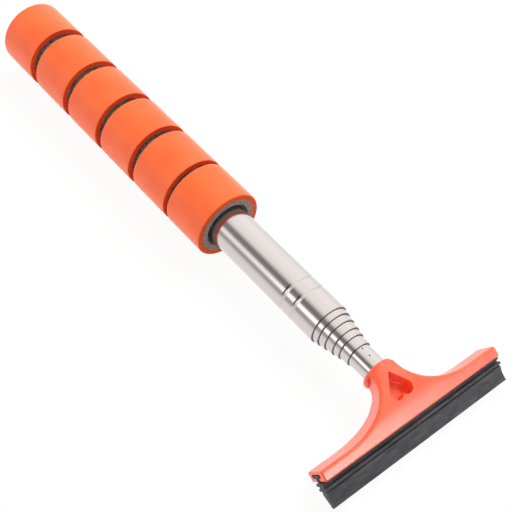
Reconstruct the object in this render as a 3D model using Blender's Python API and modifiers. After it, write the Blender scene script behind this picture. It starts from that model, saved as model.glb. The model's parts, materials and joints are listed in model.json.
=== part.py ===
"""Telescopic hand squeegee: foam grip, seven-section steel tube, bent T head and rubber blade.

The handle's axis runs along X from the butt at -X to the blade at +X, the blade lies along Y, and Z is
up. The origin is under the middle of the tool, on the surface that the grip lies on. Lengths along the
handle are counted from the butt, and lengths along the head from the mouth of its collar.
"""

import math

import bmesh
import bpy
from mathutils import Matrix, Vector

MM = 0.001

# Clearances
FIT_GAP = 0.3 * MM
RUNNING_GAP = 0.1 * MM
LIP_GAP = 0.12 * MM

# Foam grip: a grey core under an orange skin that five ring grooves cut into bands
CORE_THICKNESS = 3.1 * MM
SKIN_THICKNESS = 2.6 * MM
BAND_LENGTHS = (22.0 * MM, 21.4 * MM, 20.6 * MM, 20.0 * MM, 20.6 * MM, 20.7 * MM)
GROOVE_WIDTHS = (4.6 * MM, 4.2 * MM, 3.9 * MM, 3.7 * MM, 2.5 * MM)
GROOVE_UNDERCUT = 0.4 * MM
BAND_EDGE_ROUND = 0.8 * MM
GRIP_END_WALL = 8.0 * MM
MOUTH_GAP = 0.9 * MM
MOUTH_DEPTH = 3.0 * MM

# Telescopic tube
MAIN_TUBE_RADIUS = 8.7 * MM
TUBE_WALL = 0.3 * MM
SECTION_GAP = 0.325 * MM
TUBE_SHOWS = 59.95 * MM
RING_SHOWS = (2.7 * MM, 3.05 * MM, 3.45 * MM, 2.85 * MM, 4.15 * MM)
ROD_SHOWS = 9.05 * MM
LIP_LENGTH = 0.8 * MM
BEADS_FROM_LIP = (12.0 * MM, 18.0 * MM)
BEAD_WIDTH = 1.6 * MM
BEAD_DEPTH = 0.2 * MM

# Brass bushes in the rear ends of the sliding sections, and the plug behind them
BUSH_PISTON = 9.0 * MM
BUSH_SPIGOT = 3.0 * MM
BUSH_WALL = 1.2 * MM
BUSH_CHAMFER = 0.5 * MM
PLUG_LENGTH = 38.0 * MM
PLUG_FLANGE = 2.0 * MM

# Head: collar, stem and a T-shaped plate that bends down towards its channel
COLLAR_WALL = 1.5 * MM
COLLAR_ROUND = 0.9 * MM
SOCKET_DEPTH = 1.4 * MM
SOCKET_FLOOR = 0.8 * MM
STEM_LENGTH = 14.0 * MM
HEAD_THICKNESS = 10.6 * MM
NECK_HALF_WIDTH = 6.2 * MM
NECK_FRONT = 6.5 * MM
NECK_BLEND_END = 9.0 * MM
FRONT_ROUNDNESS = 0.35
BEND_START = 1.9 * MM
BEND_RADIUS = 25.0 * MM
BEND_ANGLE = math.radians(32.0)
FLARE_START = 3.2 * MM
FLARE_REACH = 23.8 * MM
BAR_LENGTH = 84.6 * MM
BAR_HEIGHT = 4.2 * MM
FRONT_ROUND = 1.8 * MM
BACK_ROUND = 0.9 * MM
END_ROUND = 0.5 * MM

# Heart-shaped pocket in the front of the neck
HEART_WIDTH = 9.8 * MM
HEART_LENGTH = 10.6 * MM
HEART_DEPTH = 4.7 * MM
HEART_TIP = 2.8 * MM
HEART_LOBE_SHARE = 0.27

# Channel in the bar, and the rubber blade whose root it holds
CHANNEL_ROOF = 1.0 * MM
CHANNEL_HEIGHT = 1.6 * MM
CHANNEL_HALF_WIDTH = 2.8 * MM
CHANNEL_LIP = 0.5 * MM
MOUTH_HALF_WIDTH = 2.4 * MM
BLADE_OVERHANG = 0.4 * MM
WEB_HALF_WIDTH = 0.6 * MM
RIB_HALF_WIDTH = 2.75 * MM
RIB_HEIGHT = 1.0 * MM
RIB_PITCH = 1.9 * MM
WAIST_HALF_WIDTH = 1.3 * MM
WAIST_HEIGHT = 0.7 * MM
PLATE_HEIGHT = 5.9 * MM
PLATE_HALF_WIDTH = 1.9 * MM
TIP_HALF_WIDTH = 0.55 * MM

# Facets
ROUND_SIDES = 32
BUSH_SIDES = 24
ARC_STEPS = 4
EDGE_STEPS = 2
FLARE_STEPS = 12
LOBE_STEPS = 8
BEND_CUTS = 9
NECK_CUTS = 5
RIM_STEPS = 3
FLAT_ANGLE = math.radians(0.5)
SHARP_ANGLE = math.radians(35.0)
CUT_MARGIN = 5.0 * MM
WELD = 1e-6

# Sizes that follow from the ones above
GRIP_LENGTH = sum(BAND_LENGTHS) + sum(GROOVE_WIDTHS)
CORE_BORE = MAIN_TUBE_RADIUS + FIT_GAP
CORE_RADIUS = CORE_BORE + CORE_THICKNESS
SKIN_BORE = CORE_RADIUS + FIT_GAP
GRIP_RADIUS = SKIN_BORE + SKIN_THICKNESS
AXIS_HEIGHT = GRIP_RADIUS * math.cos(math.pi / ROUND_SIDES)
RADIUS_STEP = TUBE_WALL + SECTION_GAP
SECTION_COUNT = len(RING_SHOWS) + 2
ROD_RADIUS = MAIN_TUBE_RADIUS - (SECTION_COUNT - 1) * RADIUS_STEP
SOCKET_RADIUS = ROD_RADIUS + FIT_GAP
COLLAR_RADIUS = SOCKET_RADIUS + COLLAR_WALL
MAIN_LIP = GRIP_LENGTH + TUBE_SHOWS
LIPS = [MAIN_LIP + sum(RING_SHOWS[:count]) for count in range(len(RING_SHOWS) + 1)]
COLLAR_MOUTH = LIPS[-1] + ROD_SHOWS
PLUG_REAR = GRIP_END_WALL + FIT_GAP
MAIN_TUBE_REAR = PLUG_REAR + PLUG_FLANGE + FIT_GAP
BUSH_STACK = BUSH_PISTON + BUSH_SPIGOT + FIT_GAP
COLLAR_LENGTH = SOCKET_DEPTH + SOCKET_FLOOR
PLATE_FROM = SOCKET_DEPTH + SOCKET_FLOOR / 2
BEND_END = BEND_START + BEND_RADIUS * BEND_ANGLE
BAR_BOTTOM = BEND_END + BAR_HEIGHT
HALF_THICKNESS = HEAD_THICKNESS / 2
BLADE_LENGTH = BAR_LENGTH + 2 * BLADE_OVERHANG
RIB_START = BAR_HEIGHT + FIT_GAP
PLATE_START = RIB_START + RIB_PITCH + RIB_HEIGHT + WAIST_HEIGHT
BLADE_TIP = PLATE_START + PLATE_HEIGHT


def bend(along, through):
    """Return x from the collar's mouth and z, for a place along the head and through its thickness."""
    angle = min(max(along - BEND_START, 0.0) / BEND_RADIUS, BEND_ANGLE)
    straight = min(along, BEND_START)
    beyond = max(along - BEND_END, 0.0)
    x = straight + (BEND_RADIUS + through) * math.sin(angle) + beyond * math.cos(angle)
    z = (BEND_RADIUS + through) * math.cos(angle) - BEND_RADIUS - beyond * math.sin(angle)
    return x, z


TOTAL_LENGTH = COLLAR_MOUTH + bend(BEND_END + BLADE_TIP, TIP_HALF_WIDTH)[0]


def section_radius(section):
    """Outer radius of a tube section, where section 1 is the main tube."""
    return MAIN_TUBE_RADIUS - (section - 1) * RADIUS_STEP


def section_bore(section):
    """Inner radius of a tube section."""
    return section_radius(section) - TUBE_WALL


def bush_rear(section):
    """Distance from the butt to the rear face of the bush in a sliding section."""
    return PLUG_REAR + PLUG_FLANGE + PLUG_LENGTH + FIT_GAP + (section - 2) * BUSH_STACK


def section_rear(section):
    """Distance from the butt to the rear end of a tube section."""
    if section == 1:
        return MAIN_TUBE_REAR
    return bush_rear(section) + BUSH_PISTON + FIT_GAP


def linear(hex_colour):
    """Turn an sRGB hex colour into the linear values that a shader takes."""
    channels = [int(hex_colour[place:place + 2], 16) / 255 for place in (0, 2, 4)]
    return [c / 12.92 if c <= 0.04045 else ((c + 0.055) / 1.055) ** 2.4 for c in channels]


def make_material(name, hex_colour, roughness, metallic=0.0):
    """Make a plain Principled material."""
    material = bpy.data.materials.new(name)
    material.use_nodes = True
    shader = material.node_tree.nodes["Principled BSDF"]
    shader.inputs["Base Color"].default_value = (*linear(hex_colour), 1.0)
    shader.inputs["Roughness"].default_value = roughness
    shader.inputs["Metallic"].default_value = metallic
    return material


def clear_scene():
    """Remove whatever the scene holds, and make the collections and the empty that carries the parts."""
    for old in list(bpy.data.objects):
        bpy.data.objects.remove(old, do_unlink=True)
    for name in ("telescopic_squeegee", "cutters"):
        bpy.context.scene.collection.children.link(bpy.data.collections.new(name))
    axis = bpy.data.objects.new("butt_on_axis", None)
    axis.location = (-TOTAL_LENGTH / 2, 0.0, AXIS_HEIGHT)
    bpy.data.collections["telescopic_squeegee"].objects.link(axis)
    return axis


def place(piece, axis, along, material=None):
    """Put a piece on the handle's axis, as a part with a material or else as a cutter."""
    piece.parent = axis
    piece.location.x += along
    if material is None:
        bpy.data.collections["cutters"].objects.link(piece)
        piece.hide_render = True
        piece.display_type = 'WIRE'
    else:
        bpy.data.collections["telescopic_squeegee"].objects.link(piece)
        piece.data.materials.append(material)
    return piece


def arc(centre_x, centre_y, radius, start, end, steps=ARC_STEPS):
    """List the points of an arc, with its angles in degrees."""
    angles = [math.radians(start + (end - start) * step / steps) for step in range(steps + 1)]
    return [(centre_x + radius * math.cos(angle), centre_y + radius * math.sin(angle)) for angle in angles]


def turned(name, profile, sides, closed):
    """Turn a profile of (radius, length) points about the handle's axis, with a flat facet at the bottom.

    The profile runs from front to rear on its outer side. A closed one makes a tube, and an open one
    starts and ends on the axis.
    """
    mesh = bpy.data.meshes.new(name)
    count = len(profile)
    edges = [(point, (point + 1) % count) for point in range(count if closed else count - 1)]
    mesh.from_pydata([(radius, 0.0, length) for radius, length in profile], edges, [])
    piece = bpy.data.objects.new(name, mesh)
    piece.rotation_mode = 'ZYX'
    piece.rotation_euler = (0.0, math.pi / 2, math.pi / sides)
    screw = piece.modifiers.new("turn", 'SCREW')
    screw.steps = sides
    screw.render_steps = sides
    screw.use_merge_vertices = True
    screw.merge_threshold = WELD
    screw.use_smooth_shade = True
    return piece


def prism(name, outline, depth):
    """Extrude a flat outline evenly to both sides of its own XY plane, as one closed mesh."""
    curve = bpy.data.curves.new(name, 'CURVE')
    curve.dimensions = '2D'
    curve.fill_mode = 'BOTH'
    curve.extrude = depth / 2
    spline = curve.splines.new('POLY')
    spline.points.add(len(outline) - 1)
    spline.use_cyclic_u = True
    for point, (x, y) in zip(spline.points, outline):
        point.co = (x, y, 0.0, 1.0)
    drawn = bpy.data.objects.new(name + "_outline", curve)
    bpy.context.scene.collection.objects.link(drawn)
    evaluated = drawn.evaluated_get(bpy.context.evaluated_depsgraph_get())
    mesh = bpy.data.meshes.new_from_object(evaluated)
    bpy.data.objects.remove(drawn, do_unlink=True)
    welded = bmesh.new()
    welded.from_mesh(mesh)
    bmesh.ops.remove_doubles(welded, verts=welded.verts, dist=WELD)
    bmesh.ops.recalc_face_normals(welded, faces=welded.faces)
    welded.to_mesh(mesh)
    welded.free()
    mesh.name = name
    return bpy.data.objects.new(name, mesh)


def combine(piece, operation, other):
    """Join another piece to this one, or cut it out, with a Boolean modifier."""
    modifier = piece.modifiers.new(other.name, 'BOOLEAN')
    modifier.operation = operation
    modifier.object = other


def band_starts():
    """Distance from the butt to the rear end of each band of the skin."""
    starts = [0.0]
    for length, groove in zip(BAND_LENGTHS, GROOVE_WIDTHS):
        starts.append(starts[-1] + length + groove)
    return starts


def make_grip(axis, skin, core_foam):
    """Make the six orange bands and the grey core that they are bonded to."""
    edge = GRIP_RADIUS - BAND_EDGE_ROUND
    for number, (start, length) in enumerate(zip(band_starts(), BAND_LENGTHS), 1):
        profile = [(SKIN_BORE, length)]
        profile += arc(edge, length - BAND_EDGE_ROUND, BAND_EDGE_ROUND, 90, 0, EDGE_STEPS)
        profile += arc(edge, BAND_EDGE_ROUND, BAND_EDGE_ROUND, 0, -90, EDGE_STEPS)
        profile.append((SKIN_BORE, 0.0))
        band = turned(f"grip_band_{number}", profile, ROUND_SIDES, closed=True)
        place(band, axis, start, skin)

    floor = CORE_RADIUS - GROOVE_UNDERCUT
    mouth = CORE_BORE + MOUTH_GAP
    mouth_floor = GRIP_LENGTH - MOUTH_DEPTH
    profile = [(0.0, GRIP_END_WALL), (CORE_BORE, GRIP_END_WALL), (CORE_BORE, mouth_floor)]
    profile += [(mouth, mouth_floor), (mouth, GRIP_LENGTH), (CORE_RADIUS, GRIP_LENGTH)]
    for start, groove in reversed(list(zip(band_starts()[1:], GROOVE_WIDTHS))):
        end = start - groove
        profile += [(CORE_RADIUS, start), (floor, start), (floor, end), (CORE_RADIUS, end)]
    profile += [(CORE_RADIUS, 0.0), (0.0, 0.0)]
    place(turned("grip_core", profile, ROUND_SIDES, closed=False), axis, 0.0, core_foam)


def bead(radius, centre):
    """List the points of a rolled ring groove, from its front to its rear."""
    half = BEAD_WIDTH / 2
    floor = radius - BEAD_DEPTH
    front = [(radius, centre + half), (floor, centre + half / 2)]
    return front + [(floor, centre - half / 2), (radius, centre - half)]


def make_tube(name, section, axis, steel, beads=()):
    """Make a tube section with a rolled-in front lip, and any rolled ring grooves behind it."""
    radius = section_radius(section)
    bore = section_bore(section)
    lip = section_radius(section + 1) + LIP_GAP
    roll = radius - lip
    front = LIPS[section - 1]
    rear = section_rear(section)
    profile = arc(lip, front - roll, roll, 90, 0)
    for offset in beads:
        profile += bead(radius, front - offset)
    profile += [(radius, rear), (bore, rear)]
    for offset in reversed(beads):
        profile += reversed(bead(bore, front - offset))
    profile += [(bore, front - LIP_LENGTH), (lip, front - LIP_LENGTH / 2)]
    place(turned(name, profile, ROUND_SIDES, closed=True), axis, 0.0, steel)


def make_rod(axis, steel):
    """Make the last, plain section, which ends in the socket of the head."""
    bore = section_bore(SECTION_COUNT)
    front = COLLAR_MOUTH + SOCKET_DEPTH - FIT_GAP
    rear = section_rear(SECTION_COUNT)
    profile = [(ROD_RADIUS, front), (ROD_RADIUS, rear), (bore, rear), (bore, front)]
    place(turned("rod", profile, ROUND_SIDES, closed=True), axis, 0.0, steel)


def stepped_plug(name, big, big_length, small, small_length, bore=0.0):
    """Turn a plug, solid or bored, with a wide rear end and a narrower, chamfered front end."""
    front = big_length + small_length
    profile = [(bore, front), (small - BUSH_CHAMFER, front), (small, front - BUSH_CHAMFER)]
    profile += [(small, big_length), (big, big_length), (big, 0.0), (bore, 0.0)]
    return turned(name, profile, BUSH_SIDES, closed=bore > 0.0)


def make_telescope(axis, steel, brass, plug_plastic):
    """Make the main tube with its plug, and the six sliding sections with their bushes."""
    make_tube("main_tube", 1, axis, steel, BEADS_FROM_LIP)
    plug_radius = section_bore(1) - FIT_GAP
    plug = stepped_plug("base_plug", MAIN_TUBE_RADIUS, PLUG_FLANGE, plug_radius, PLUG_LENGTH)
    place(plug, axis, PLUG_REAR, plug_plastic)
    for section in range(2, SECTION_COUNT):
        make_tube(f"tube_section_{section}", section, axis, steel)
    make_rod(axis, steel)
    for section in range(2, SECTION_COUNT + 1):
        piston = section_bore(section - 1) - RUNNING_GAP
        spigot = section_bore(section) - FIT_GAP
        name = f"guide_bush_{section}"
        bush = stepped_plug(name, piston, BUSH_PISTON, spigot, BUSH_SPIGOT, spigot - BUSH_WALL)
        place(bush, axis, bush_rear(section), brass)


def flare_half_width(along):
    """Half the head's width, a quarter ellipse that spreads from the neck to the bar."""
    rise = min(max(along - FLARE_START, 0.0) / (BEND_END - FLARE_START), 1.0)
    return NECK_HALF_WIDTH + FLARE_REACH * (1.0 - math.sqrt(1.0 - rise * rise))


def plate_outline():
    """List the outline of the T-shaped plate, developed flat, with its length along X."""
    span = BEND_END - FLARE_START
    side = [(PLATE_FROM, NECK_HALF_WIDTH)]
    for step in range(FLARE_STEPS + 1):
        along = FLARE_START + span * math.sin(math.pi / 2 * step / FLARE_STEPS)
        side.append((along, flare_half_width(along)))
    side += [(BEND_END, BAR_LENGTH / 2), (BAR_BOTTOM, BAR_LENGTH / 2)]
    return side + [(x, -y) for x, y in reversed(side)]


def flank_edges(plate, level):
    """List the edges of one flat side of the plate along both flanks of the neck and the top of the bar."""
    edges = []
    for edge in plate.edges:
        on_level = all(abs(vert.co.z - level) < WELD for vert in edge.verts)
        above_bar = all(vert.co.x < BEND_END + WELD for vert in edge.verts)
        at_start = all(vert.co.x < PLATE_FROM + WELD for vert in edge.verts)
        if on_level and above_bar and not at_start:
            edges.append(edge)
    return edges


def end_edges(plate):
    """List the edges round both end faces and the bottom face of the bar."""
    edges = []
    for edge in plate.edges:
        on_end = all(abs(vert.co.y) > BAR_LENGTH / 2 - WELD for vert in edge.verts)
        on_bottom = all(vert.co.x > BAR_BOTTOM - WELD for vert in edge.verts)
        if on_end or on_bottom:
            edges.append(edge)
    return edges


def round_edges(plate, edges, radius, steps):
    """Round some edges of the plate."""
    bmesh.ops.bevel(plate, geom=edges, offset=radius, segments=steps, profile=0.5, affect='EDGES')


def round_and_cut(plate):
    """Round the edges of the flat plate, and cut its faces into strips that can follow the bend."""
    bmesh.ops.dissolve_limit(plate, angle_limit=FLAT_ANGLE, verts=plate.verts, edges=plate.edges)
    for level, radius in ((HALF_THICKNESS, FRONT_ROUND), (-HALF_THICKNESS, BACK_ROUND)):
        round_edges(plate, flank_edges(plate, level), radius, RIM_STEPS)
    round_edges(plate, end_edges(plate), END_ROUND, EDGE_STEPS)
    cuts = []
    for cut in range(1, BEND_CUTS + 1):
        cuts.append(((BEND_START + (BEND_END - BEND_START) * cut / BEND_CUTS, 0.0, 0.0), (1.0, 0.0, 0.0)))
    for cut in range(1, NECK_CUTS + 1):
        cuts.append(((0.0, NECK_HALF_WIDTH * (2 * cut / (NECK_CUTS + 1) - 1), 0.0), (0.0, 1.0, 0.0)))
    for point, normal in cuts:
        whole = plate.verts[:] + plate.edges[:] + plate.faces[:]
        bmesh.ops.bisect_plane(plate, geom=whole, dist=WELD, plane_co=point, plane_no=normal)


def shape_plate(vert):
    """Blend the neck's section into the collar, higher and squarer in front, and bend the plate down."""
    along, across, through = vert.co
    near = min(max((NECK_BLEND_END - along) / (NECK_BLEND_END - PLATE_FROM), 0.0), 1.0)
    wide = min(max(across / flare_half_width(along), -1.0), 1.0)
    deep = through / HALF_THICKNESS
    roundness = near
    if through > 0.0:
        roundness *= FRONT_ROUNDNESS
        through += near * deep * (NECK_FRONT - HALF_THICKNESS)
    across -= roundness * across * (1.0 - math.sqrt(1.0 - deep * deep / 2))
    through -= roundness * through * (1.0 - math.sqrt(1.0 - wide * wide / 2))
    x, z = bend(along, through)
    vert.co = (x, across, z)


def head_frame(along):
    """Place at a length along the head: X on along it, Y out of its front and Z to the left of the blade."""
    angle = min(max(along - BEND_START, 0.0) / BEND_RADIUS, BEND_ANGLE)
    x, z = bend(along, 0.0)
    onward = Vector((math.cos(angle), 0.0, -math.sin(angle)))
    outward = Vector((math.sin(angle), 0.0, math.cos(angle)))
    turn = Matrix((onward, outward, onward.cross(outward))).transposed().to_4x4()
    return Matrix.Translation((x, 0.0, z)) @ turn


def seat(piece, along):
    """Turn and place a prism on the frame at a length along the head."""
    frame = head_frame(along)
    piece.rotation_euler = frame.to_euler()
    piece.location = frame.translation
    return piece


def heart_outline():
    """List the outline of the heart, from its tip round both lobes: tangents from the tip, then arcs."""
    lobe = HEART_WIDTH * HEART_LOBE_SHARE
    centre_x = HEART_LENGTH - lobe
    centre_y = HEART_WIDTH / 2 - lobe
    reach = math.hypot(centre_x, centre_y)
    touch = math.degrees(math.atan2(centre_y, centre_x) + math.asin(lobe / reach)) + 90.0
    cleft = math.degrees(math.acos(centre_y / lobe)) - 90.0
    side = arc(centre_x, centre_y, lobe, touch, cleft, LOBE_STEPS)
    return [(0.0, 0.0)] + side + [(x, -y) for x, y in reversed(side[:-1])]


def channel_outline():
    """List the channel's section: a wide roof for the blade's root, a neck at the lips, a flared mouth."""
    neck = WEB_HALF_WIDTH + FIT_GAP
    lip_top = CHANNEL_ROOF + CHANNEL_HEIGHT
    side = [(CHANNEL_ROOF, CHANNEL_HALF_WIDTH), (lip_top, CHANNEL_HALF_WIDTH), (lip_top, neck)]
    side += [(lip_top + CHANNEL_LIP, neck), (BAR_HEIGHT, MOUTH_HALF_WIDTH), (BLADE_TIP, MOUTH_HALF_WIDTH)]
    return side + [(x, -y) for x, y in reversed(side)]


def blade_outline():
    """List the blade's section: root, web, two ribs, waist and a plate that tapers to its edge."""
    root_top = CHANNEL_ROOF + FIT_GAP
    root_bottom = CHANNEL_ROOF + CHANNEL_HEIGHT - FIT_GAP
    root = CHANNEL_HALF_WIDTH - FIT_GAP
    side = [(root_top, root), (root_bottom, root), (root_bottom, WEB_HALF_WIDTH), (RIB_START, WEB_HALF_WIDTH)]
    for rib in range(2):
        start = RIB_START + rib * RIB_PITCH
        end = start + RIB_HEIGHT
        side += [(start, RIB_HALF_WIDTH), (end, RIB_HALF_WIDTH), (end, WAIST_HALF_WIDTH)]
        if rib == 0:
            side.append((start + RIB_PITCH, WAIST_HALF_WIDTH))
    side += [(PLATE_START, WAIST_HALF_WIDTH), (PLATE_START, PLATE_HALF_WIDTH), (BLADE_TIP, TIP_HALF_WIDTH)]
    return side + [(x, -y) for x, y in reversed(side)]


def make_collar(axis):
    """Turn the rounded collar with the ring socket for the rod's end, and the stem that fills the rod."""
    edge = COLLAR_RADIUS - COLLAR_ROUND
    stem = section_bore(SECTION_COUNT) - FIT_GAP
    profile = [(0.0, COLLAR_LENGTH)]
    profile += arc(edge, COLLAR_LENGTH - COLLAR_ROUND, COLLAR_ROUND, 90, 0)
    profile += arc(edge, COLLAR_ROUND, COLLAR_ROUND, 0, -90)
    profile += [(SOCKET_RADIUS, 0.0), (SOCKET_RADIUS, SOCKET_DEPTH), (stem, SOCKET_DEPTH)]
    profile += [(stem, BUSH_CHAMFER - STEM_LENGTH), (stem - BUSH_CHAMFER, -STEM_LENGTH), (0.0, -STEM_LENGTH)]
    return place(turned("collar_and_stem", profile, ROUND_SIDES, closed=False), axis, COLLAR_MOUTH)


def make_head(axis, plastic):
    """Make the head: bent plate, joined to the collar and its stem, with the heart and channel cut."""
    head = prism("head", plate_outline(), HEAD_THICKNESS)
    plate = bmesh.new()
    plate.from_mesh(head.data)
    round_and_cut(plate)
    for vert in plate.verts:
        shape_plate(vert)
    bmesh.ops.recalc_face_normals(plate, faces=plate.faces)
    plate.to_mesh(head.data)
    plate.free()
    head.data.shade_smooth()
    head.data.set_sharp_from_angle(angle=SHARP_ANGLE)
    place(head, axis, COLLAR_MOUTH, plastic)

    heart_front = HALF_THICKNESS - HEART_DEPTH
    heart = seat(prism("heart_pocket", heart_outline(), HEAD_THICKNESS), HEART_TIP)
    turn_up = Matrix.Rotation(-math.pi / 2, 3, 'X')
    middle = head_frame((HEART_TIP + BEND_END) / 2).to_3x3()
    heart.rotation_euler = (middle @ turn_up).to_euler()
    heart.location += middle @ Vector((0.0, heart_front + HALF_THICKNESS, 0.0))
    channel = seat(prism("channel", channel_outline(), BAR_LENGTH + 2 * CUT_MARGIN), BEND_END)
    combine(head, 'UNION', make_collar(axis))
    for cutter in (heart, channel):
        combine(head, 'DIFFERENCE', place(cutter, axis, COLLAR_MOUTH))


def make_blade(axis, rubber):
    """Make the rubber blade, slid into the head's channel."""
    blade = seat(prism("blade", blade_outline(), BLADE_LENGTH), BEND_END)
    place(blade, axis, COLLAR_MOUTH, rubber)


def main():
    """Build every piece of the squeegee."""
    axis = clear_scene()
    skin = make_material("orange_foam", "FA7341", 0.75)
    core_foam = make_material("grey_foam", "6E6460", 0.9)
    steel = make_material("polished_steel", "C9C5C1", 0.15, 1.0)
    brass = make_material("brass", "B99A55", 0.35, 1.0)
    plug_plastic = make_material("black_plastic", "2B2A2A", 0.5)
    plastic = make_material("orange_plastic", "FF6A3C", 0.2)
    rubber = make_material("charcoal_rubber", "454448", 0.6)
    make_grip(axis, skin, core_foam)
    make_telescope(axis, steel, brass, plug_plastic)
    make_head(axis, plastic)
    make_blade(axis, rubber)


main()
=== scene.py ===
"""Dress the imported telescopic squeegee: foam grip, stepped steel tube, moulded T head and rubber blade.

The handle's axis runs along X from the butt at -X to the blade at +X, the blade lies along Y and Z is up.
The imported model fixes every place. The pieces here stand where its solids are, with their real finishes.
"""

import json
import logging
import math
from dataclasses import dataclass, replace
from enum import Enum
from typing import Callable, Sequence

import bmesh
import bpy
from bmesh.types import BMEdge
from bpy.types import Material, MeshPolygon, Node, NodeSocket, NodeTree, Object
from mathutils import Matrix, Vector

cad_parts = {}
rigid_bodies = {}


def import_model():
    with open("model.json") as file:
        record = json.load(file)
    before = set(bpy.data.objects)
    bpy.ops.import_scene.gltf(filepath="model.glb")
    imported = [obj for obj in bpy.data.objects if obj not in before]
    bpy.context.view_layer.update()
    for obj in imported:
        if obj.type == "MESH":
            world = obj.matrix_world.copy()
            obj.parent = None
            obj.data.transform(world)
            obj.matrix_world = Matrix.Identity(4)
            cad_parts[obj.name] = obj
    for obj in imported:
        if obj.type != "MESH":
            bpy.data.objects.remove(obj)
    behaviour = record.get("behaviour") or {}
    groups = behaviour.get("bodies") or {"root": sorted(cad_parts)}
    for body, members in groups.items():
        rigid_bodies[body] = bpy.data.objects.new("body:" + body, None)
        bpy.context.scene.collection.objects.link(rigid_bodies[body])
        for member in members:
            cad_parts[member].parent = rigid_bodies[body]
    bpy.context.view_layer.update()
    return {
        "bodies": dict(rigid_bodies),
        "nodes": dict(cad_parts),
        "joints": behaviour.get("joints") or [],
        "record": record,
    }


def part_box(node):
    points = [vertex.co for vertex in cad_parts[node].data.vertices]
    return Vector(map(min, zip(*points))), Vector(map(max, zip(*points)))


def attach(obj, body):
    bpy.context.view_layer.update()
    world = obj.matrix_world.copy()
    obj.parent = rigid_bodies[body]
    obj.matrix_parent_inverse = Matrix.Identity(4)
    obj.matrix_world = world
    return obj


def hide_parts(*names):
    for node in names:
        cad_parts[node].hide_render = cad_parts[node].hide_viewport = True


MM = 0.001
WELD = 1e-6
SMOOTH_ANGLE = math.radians(35.0)
ROD_IN_SOCKET = 1.1 * MM
WHITE = "FFFFFF"

Outline = list[tuple[float, float]]

log = logging.getLogger("squeegee")


class Body(Enum):
    """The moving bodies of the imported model."""

    HANDLE = "handle"
    SECTION_2 = "section_2"
    SECTION_3 = "section_3"
    SECTION_4 = "section_4"
    SECTION_5 = "section_5"
    SECTION_6 = "section_6"
    ROD_AND_HEAD = "rod_and_head"


class Cut(Enum):
    """The ways in which one solid is combined with another."""

    JOIN = "UNION"
    CUT_OUT = "DIFFERENCE"


def linear(hex_colour: str) -> tuple[float, float, float, float]:
    """Turn an sRGB hex colour into the linear values that a shader takes.

    Args:
        hex_colour: Six hex digits.

    Returns:
        Red, green, blue and an opaque alpha.
    """
    channels = [int(hex_colour[place:place + 2], 16) / 255 for place in (0, 2, 4)]
    red, green, blue = (c / 12.92 if c <= 0.04045 else ((c + 0.055) / 1.055) ** 2.4 for c in channels)
    return red, green, blue, 1.0


def grey(level: float) -> tuple[float, float, float, float]:
    """Return the linear colour of a grey, which may be brighter than white."""
    return level, level, level, 1.0


def set_inputs(tree: NodeTree, node: Node, inputs: dict) -> None:
    """Give inputs of a shader node their values or links.

    Args:
        tree: The node tree.
        node: The node.
        inputs: For a named or numbered input a value, an output socket, or a node for its first output.
    """
    for socket, value in inputs.items():
        source = value.outputs[0] if isinstance(value, Node) else value
        if isinstance(source, NodeSocket):
            tree.links.new(source, node.inputs[socket])
        else:
            node.inputs[socket].default_value = source


def add_node(tree: NodeTree, kind: str, inputs: dict | Sequence = (), stops: Sequence = (),
             **settings) -> Node:
    """Add a shader node with its settings, values and links.

    Args:
        tree: The node tree that gets the node.
        kind: The node's type, without its ShaderNode prefix.
        inputs: What set_inputs takes, or the same values in the order of the node's inputs.
        stops: Where the node is a colour ramp, places from 0 to 1, each with its linear colour.
        settings: Properties of the node.

    Returns:
        The new node.
    """
    made = tree.nodes.new("ShaderNode" + kind)
    for name, value in settings.items():
        setattr(made, name, value)
    set_inputs(tree, made, inputs if isinstance(inputs, dict) else dict(enumerate(inputs)))
    if stops:
        elements = made.color_ramp.elements
        while len(elements) < len(stops):
            elements.new(1.0)
        for element, (place, colour) in zip(elements, stops):
            element.position, element.color = place, colour
    return made


@dataclass(frozen=True)
class Grain:
    """A noise in a finish: how long its features are along X, Y and Z, and what it is like."""

    size: tuple[float, float, float]
    detail: float
    roughness: float = 0.5
    distortion: float = 0.0


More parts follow.
